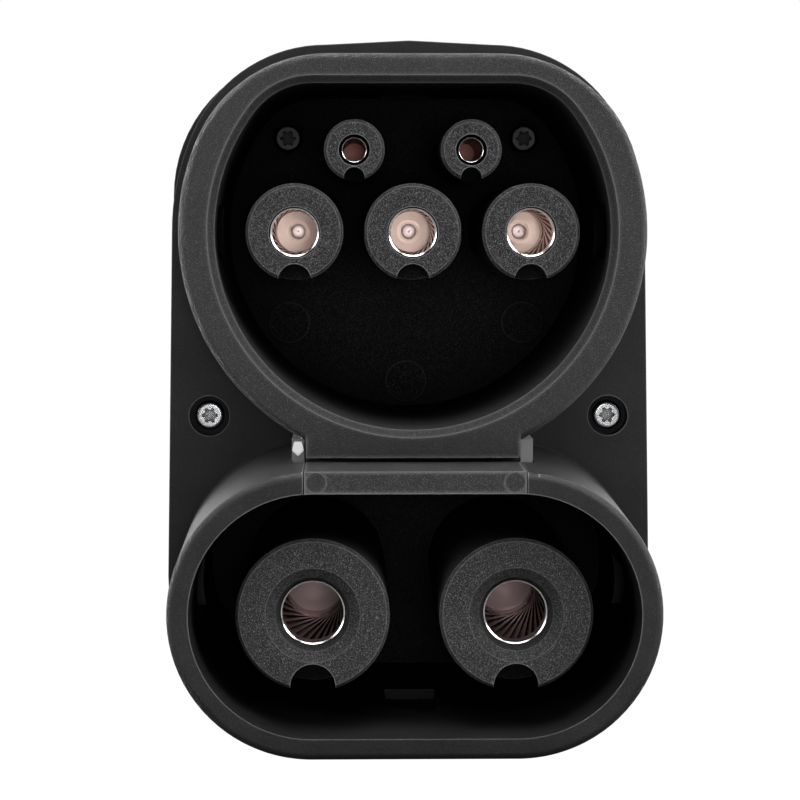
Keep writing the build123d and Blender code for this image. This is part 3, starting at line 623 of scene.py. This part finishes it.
class PLUG_OT_sockets(bpy.types.Operator):
    """Turn the sockets with a funnel at the lip and a copper floor in the bore"""

    bl_idname = "plug.sockets"
    bl_label = "Turn the Sockets"

    # Sizes that all sockets share: a step is a difference of radii, and lengths lie along Y.
    head_step = 1.6 * MM
    head_thickness = 3 * MM
    solid_length = 4 * MM
    crimp_step = 1.2 * MM
    crimp_depth = 14 * MM
    nose_length = 1 * MM
    room_setback = 3 * MM
    funnel_share = 0.55
    hairline = 0.02 * MM
    floor_thickness = 0.6 * MM

    def execute(self, context):
        for name in AC_SOCKETS:
            axis, radius, floor_y = self.make_socket(
                name, bore=3.1 * MM, lip=3.3 * MM, room=3.75 * MM, room_length=18 * MM,
                depth=25 * MM, finish="copper_lamella",
            )
            self.make_bore_floor(name, axis, radius, floor_y, "pale_copper", ringed=True)
            self.make_button(name, axis, radius, floor_y)
        for name in SIGNAL_SOCKETS:
            axis, radius, floor_y = self.make_socket(
                name, bore=1.6 * MM, lip=1.68 * MM, room=1.6 * MM, room_length=1 * MM,
                depth=24 * MM, finish="red_copper",
            )
            self.make_bore_floor(name, axis, radius, floor_y, "red_copper", ringed=False)
        for name in DC_SOCKETS:
            axis, radius, floor_y = self.make_socket(
                name, bore=4.1 * MM, lip=4.3 * MM, room=4.75 * MM, room_length=22 * MM,
                depth=28 * MM, finish="brown_copper",
            )
            self.make_bore_floor(name, axis, radius, floor_y, "plum_copper", ringed=False)
        return {"FINISHED"}

    def make_socket(self, name, bore, lip, room, room_length, depth, finish):
        """One socket from the radii of its bore, lip and cage room; gives what its floor needs."""
        node = name + "_socket"
        low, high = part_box(node)
        middle = (low + high) / 2
        axis = (middle.x, middle.z)
        head = (high.x - low.x) / 2
        sleeve = head - self.head_step
        crimp = sleeve - self.crimp_step
        end = high.y
        crimp_y = end - self.crimp_depth
        head_back = crimp_y - self.solid_length
        head_front = head_back - self.head_thickness
        lip_y = low.y
        nose_y = lip_y + self.nose_length
        room_y = lip_y + self.room_setback
        room_back = room_y + room_length
        funnel_y = lip_y + self.funnel_share * (lip - bore)
        floor_y = lip_y + depth
        crimp_barrel = [(crimp, crimp_y), (crimp, end), (sleeve, end)]
        head_collar = [
            (sleeve, head_back), (head, head_back), (head, head_front), (sleeve, head_front),
        ]
        nose = [(sleeve, nose_y), (lip, lip_y + self.hairline), (lip - self.hairline, lip_y)]
        inside = [
            (bore, funnel_y), (bore, room_y), (room, room_y), (room, room_back),
            (bore, room_back), (bore, floor_y),
        ]
        steps = crimp_barrel + head_collar + nose + inside
        contact = turned(name + "_contact", "silver_plate", axis, steps)
        self.finish_inside(contact, axis, room, (funnel_y, floor_y), finish)
        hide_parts(node)
        return axis, bore - self.hairline, floor_y

    def finish_inside(self, contact, axis, room, span, finish):
        """Gives the faces inside the bore a finish of their own."""
        margin = 0.05 * MM
        front, back = span
        inner = []
        for face in contact.data.polygons:
            middle = face.center
            reach = math.hypot(middle.x - axis[0], middle.z - axis[1])
            if reach < room + margin and front < middle.y < back + margin:
                inner.append(face)
        if not inner:
            raise RuntimeError(contact.name + " has no faces inside its bore")
        contact.data.materials.append(material(finish))
        for face in inner:
            face.material_index = 1

    def make_bore_floor(self, name, axis, radius, back_y, finish, ringed):
        """Copper disc at the end of the bore, with a shallow ring where asked."""
        front = back_y - self.floor_thickness
        disc = [(radius, back_y), (radius, front)]
        if ringed:
            ring = 0.6 * radius
            disc += [
                (ring, front), (0.85 * ring, front + 0.05 * MM), (0.75 * ring, front + 0.02 * MM),
            ]
        turned(name + "_bore_floor", "copper_lamella", axis, disc, finish)

    def make_button(self, name, axis, radius, back_y):
        """Pale button with a sunk centre dot on the floor of the bore."""
        floor_front = back_y - self.floor_thickness
        rim_front = floor_front - 0.06 * MM
        top_front = floor_front - 0.12 * MM
        button = 0.36 * radius
        cap = [
            (button, floor_front + 0.1 * MM), (0.95 * button, rim_front),
            (0.7 * button, top_front), (0.14 * button, top_front),
            (0.05 * button, floor_front + 0.05 * MM),
        ]
        turned(name + "_bore_button", "silver_plate", axis, cap, "dull_silver")


class PLUG_OT_lamella_cages(bpy.types.Operator):
    """Wind straight slats between two rings, which gives each cage its waist"""

    bl_idname = "plug.lamella_cages"
    bl_label = "Build the Lamella Cages"

    wall_thickness = 0.3 * MM
    edge_softness = 0.04 * MM
    ring_width = 1.2 * MM

    def execute(self, context):
        sizes = context.scene.plug_sizes
        for name in AC_SOCKETS:
            self.make_cage(name, sizes.cage_slats, sizes.cage_turn, "copper_lamella")
        for name in DC_SOCKETS:
            self.make_cage(name, sizes.dc_cage_slats, sizes.cage_turn, "brown_copper")
        return {"FINISHED"}

    def make_cage(self, name, slats, turn, finish):
        """One cage in place of the plain sleeve of the same socket."""
        node = name + "_lamella_cage"
        low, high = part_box(node)
        centre = (low + high) / 2
        radius = (high.x - low.x) / 2
        length = high.y - low.y
        clear_selection()
        bpy.ops.mesh.primitive_cylinder_add(
            vertices=2 * slats, radius=radius, depth=length, end_fill_type="NOTHING",
            location=centre, rotation=(math.pi / 2, 0, 0),
        )
        cage = bpy.context.object
        bpy.ops.object.transform_apply(location=True, rotation=True, scale=True)
        self.open_slots(cage, centre, low.y, length)
        self.wind(cage, centre, turn)
        bpy.ops.mesh.select_all(action="SELECT")
        bpy.ops.mesh.subdivide(number_cuts=1)
        bpy.ops.object.mode_set(mode="OBJECT")
        wall = cage.modifiers.new("wall", "SOLIDIFY")
        wall.thickness = self.wall_thickness
        wall.offset = -1.0
        soft = cage.modifiers.new("soft edges", "BEVEL")
        soft.width = self.edge_softness
        soft.segments = 1
        apply_modifiers(cage)
        bpy.ops.object.shade_smooth_by_angle(angle=math.radians(35))
        settle(cage, name + "_slats", "copper_lamella", finish)
        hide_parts(node)

    def open_slots(self, cage, centre, front_y, length):
        """Cuts end rings off the sleeve and deletes every second face between them."""
        bpy.ops.object.mode_set(mode="EDIT")
        slot_front = front_y + self.ring_width
        slot_back = front_y + length - self.ring_width
        for plane_y in (slot_front, slot_back):
            bpy.ops.mesh.select_all(action="SELECT")
            bpy.ops.mesh.bisect(plane_co=(centre.x, plane_y, centre.z), plane_no=(0, 1, 0))
        mesh = bmesh.from_edit_mesh(cage.data)
        columns = len(cage.data.polygons)
        chosen = 0
        for face in mesh.faces:
            middle = face.calc_center_median()
            angle = math.atan2(middle.z - centre.z, middle.x - centre.x)
            column = round(angle / math.tau * columns - 0.5)
            slotted = slot_front < middle.y < slot_back and column % 2 == 0
            face.select_set(slotted)
            chosen += slotted
        if not chosen:
            raise RuntimeError("no faces between the end rings of " + cage.name)
        bmesh.update_edit_mesh(cage.data)
        bpy.ops.mesh.delete(type="FACE")

    def wind(self, cage, centre, turn):
        """Turns the rear ring against the front one."""
        mesh = bmesh.from_edit_mesh(cage.data)
        for vertex in mesh.verts:
            vertex.select_set(vertex.co.y > centre.y)
        mesh.select_flush(True)
        bmesh.update_edit_mesh(cage.data)
        bpy.ops.transform.rotate(value=turn, orient_axis="Y", center_override=centre)


class PLUG_OT_key_light_patch(bpy.types.Operator):
    """Set a small bright patch of painted light, pointing down, on the left key of the web,
    standing in for white light seen through the key
    """

    bl_idname = "plug.key_facet"
    bl_label = "Add the Painted Light Patch"

    def execute(self, context):
        low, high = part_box("web_key_left")
        width, height = 1.75 * MM, 2.3 * MM
        thick, sunk, drop = 0.14 * MM, 0.04 * MM, 1.2 * MM
        edge_softness = 0.05 * MM
        place = ((low.x + high.x) / 2, low.y + sunk, high.z - drop)
        clear_selection()
        bpy.ops.mesh.primitive_circle_add(
            vertices=5, radius=height / 2, fill_type="NGON",
            location=place, rotation=(-math.pi / 2, 0, 0),
        )
        light_patch = bpy.context.object
        bpy.ops.object.transform_apply(location=True, rotation=True, scale=True)
        bpy.ops.object.mode_set(mode="EDIT")
        bpy.ops.mesh.select_all(action="SELECT")
        bpy.ops.transform.resize(value=(width / height, 1, 1), center_override=place)
        bpy.ops.mesh.extrude_region_move(TRANSFORM_OT_translate={"value": (0, -thick, 0)})
        bpy.ops.mesh.select_all(action="SELECT")
        bpy.ops.mesh.normals_make_consistent(inside=False)
        bpy.ops.object.mode_set(mode="OBJECT")
        soft = light_patch.modifiers.new("soft edges", "BEVEL")
        soft.width = edge_softness
        soft.segments = 2
        apply_modifiers(light_patch)
        settle(light_patch, "web_key_light_patch", "natural_nylon", "painted_light_patch")
        return {"FINISHED"}


class PLUG_OT_stage(bpy.types.Operator):
    """Set the floor, the lamps, the world and the camera"""

    bl_idname = "plug.stage"
    bl_label = "Set the Stage"

    floor_radius = 6.0
    paper_glow = 1.08
    glow_share = 0.94
    sky_dim = 0.05
    sky_gain = 2.2
    beam_spread = math.radians(10)
    sensor_width = 36.0

    def execute(self, context):
        self.make_floor()
        self.make_world(context.scene)
        self.make_lamps()
        self.make_rim_lamps()
        self.make_camera(context.scene)
        context.scene.view_settings.view_transform = "Standard"
        return {"FINISHED"}

    def make_floor(self):
        """Wide disc that shows white to the camera and keeps a soft shadow."""
        clear_selection()
        bpy.ops.mesh.primitive_circle_add(
            vertices=96, radius=self.floor_radius, fill_type="NGON", location=(0, 0, 0)
        )
        floor = bpy.context.object
        floor.name = "studio_floor"
        floor.data.materials.append(self.backdrop_material())

    def backdrop_material(self):
        """Matt grey paper, lit up to white for the camera so that only a faint shadow stays."""
        paper, tree, shader = start_material("studio paper")
        coords = tree.nodes.new("ShaderNodeTexCoord").outputs["Object"]
        fleck = ramp(tree, noise(tree, coords, 40.0), 0.3, 0.8)
        tone = mix_colour(tree, fleck, FLOOR_DARK, FLOOR_PALE)
        tree.links.new(tone, shader.inputs["Base Color"])
        shader.inputs["Roughness"].default_value = 0.9
        glow = tree.nodes.new("ShaderNodeEmission")
        glow.inputs["Strength"].default_value = self.paper_glow
        path = tree.nodes.new("ShaderNodeLightPath")
        blend = tree.nodes.new("ShaderNodeMixShader")
        share = math_node(tree, "MULTIPLY", path.outputs["Is Camera Ray"], self.glow_share)
        tree.links.new(share, blend.inputs[0])
        tree.links.new(shader.outputs[0], blend.inputs[1])
        tree.links.new(glow.outputs[0], blend.inputs[2])
        tree.links.new(blend.outputs[0], tree.nodes["Material Output"].inputs["Surface"])
        return paper

    def make_world(self, scene):
        """Sky that is dim in front of the plug and bright behind it, and white to the camera."""
        world = bpy.data.worlds.new("studio world")
        world.use_nodes = True
        tree = world.node_tree
        tree.nodes.clear()
        soft = tree.nodes.new("ShaderNodeBackground")
        way = tree.nodes.new("ShaderNodeSeparateXYZ")
        tree.links.new(tree.nodes.new("ShaderNodeTexCoord").outputs["Generated"], way.inputs[0])
        strength = ramp(tree, way.outputs["Y"], 0.05, 0.6)
        strength = math_node(tree, "MULTIPLY", strength, self.sky_gain)
        strength = math_node(tree, "ADD", strength, self.sky_dim)
        tree.links.new(strength, soft.inputs["Strength"])
        white = tree.nodes.new("ShaderNodeBackground")
        white.inputs["Color"].default_value = (1, 1, 1, 1)
        white.inputs["Strength"].default_value = 1.0
        path = tree.nodes.new("ShaderNodeLightPath")
        blend = tree.nodes.new("ShaderNodeMixShader")
        out = tree.nodes.new("ShaderNodeOutputWorld")
        tree.links.new(path.outputs["Is Camera Ray"], blend.inputs[0])
        tree.links.new(soft.outputs[0], blend.inputs[1])
        tree.links.new(white.outputs[0], blend.inputs[2])
        tree.links.new(blend.outputs[0], out.inputs["Surface"])
        scene.world = world

    def make_lamps(self):
        """Soft boxes at the sides and overhead, and one lamp in front of the contacts."""
        face = EARTH.copy()
        face.y = COLLAR_FRONT
        for name, place, size, power in (
            ("left_softbox", (-0.8, -0.6, 0.35), 0.45, 3.0),
            ("right_softbox", (0.75, -0.55, 0.5), 0.5, 7.0),
            ("top_softbox", (0.0, -0.45, 0.95), 0.7, 8.0),
            ("contact_lamp", (0.01, -0.62, EARTH.z + 0.004), 0.07, 0.2),
        ):
            clear_selection()
            bpy.ops.object.light_add(type="AREA", location=place)
            lamp = bpy.context.object
            lamp.name = name
            lamp.data.energy = power
            lamp.data.size = size
            aim = face - Vector(place)
            lamp.rotation_euler = aim.to_track_quat("-Z", "Y").to_euler()

    def make_rim_lamps(self):
        """Narrow beams from beside and above that catch only the edge of the collar."""
        edge = EARTH.copy()
        edge.y = COLLAR_FRONT + 2 * MM
        distance, step_back, lift = 0.3, 0.06, 0.03
        upright, level = (0.02, 0.14), (0.14, 0.02)
        for name, way, sizes, power in (
            ("left_rim", Vector((-distance, step_back, lift)), upright, 0.026),
            ("right_rim", Vector((distance, step_back, lift)), upright, 0.014),
            ("top_rim", Vector((0.0, step_back, distance)), level, 0.017),
        ):
            clear_selection()
            bpy.ops.object.light_add(type="AREA", location=edge + way)
            lamp = bpy.context.object
            lamp.name = name
            lamp.data.energy = power
            lamp.data.shape = "RECTANGLE"
            lamp.data.size, lamp.data.size_y = sizes
            lamp.data.spread = self.beam_spread
            lamp.rotation_euler = (-way).to_track_quat("-Z", "Y").to_euler()

    def make_camera(self, scene):
        """Camera just left of the middle plane, level with the AC contacts."""
        clear_selection()
        left, ahead, above = 8.3 * MM, 337.6 * MM, 1.8 * MM
        place = (EARTH.x - left, COLLAR_FRONT - ahead, EARTH.z + above)
        bpy.ops.object.camera_add(location=place)
        camera = bpy.context.object
        camera.name = "studio_camera"
        camera.data.lens = scene.plug_sizes.camera_lens
        camera.data.sensor_width = self.sensor_width
        camera.data.clip_start = 0.01
        down, right = math.radians(4.124), math.radians(1.106)
        camera.rotation_euler = (math.pi / 2 - down, 0, -right)
        scene.camera = camera


class PLUG_PT_panel(bpy.types.Panel):
    """Buttons that build and dress the plug"""

    bl_idname = "PLUG_PT_panel"
    bl_label = "Charging Plug"
    bl_space_type = "VIEW_3D"
    bl_region_type = "UI"
    bl_category = "Charging Plug"

    def draw(self, context):
        for part in OPERATORS:
            self.layout.operator(part.bl_idname)
        for label in ("plug_sizes", "plug_colours"):
            settings = getattr(context.scene, label)
            for key in settings.__annotations__:
                self.layout.prop(settings, key)


OPERATORS = (
    PLUG_OT_finish_frame, PLUG_OT_sockets, PLUG_OT_lamella_cages, PLUG_OT_key_light_patch, PLUG_OT_stage,
)
CLASSES = (PlugSizes, PlugColours, *OPERATORS, PLUG_PT_panel)


def register():
    """Adds the classes and the scene's settings."""
    for part in CLASSES:
        bpy.utils.register_class(part)
    bpy.types.Scene.plug_sizes = bpy.props.PointerProperty(type=PlugSizes)
    bpy.types.Scene.plug_colours = bpy.props.PointerProperty(type=PlugColours)


def unregister():
    """Removes the settings and the classes."""
    del bpy.types.Scene.plug_colours
    del bpy.types.Scene.plug_sizes
    for part in reversed(CLASSES):
        bpy.utils.unregister_class(part)


def main():
    """Builds everything in order."""
    register()
    for part in OPERATORS:
        family, action = part.bl_idname.split(".")
        getattr(getattr(bpy.ops, family), action)()


if __name__ == "__main__":
    main()
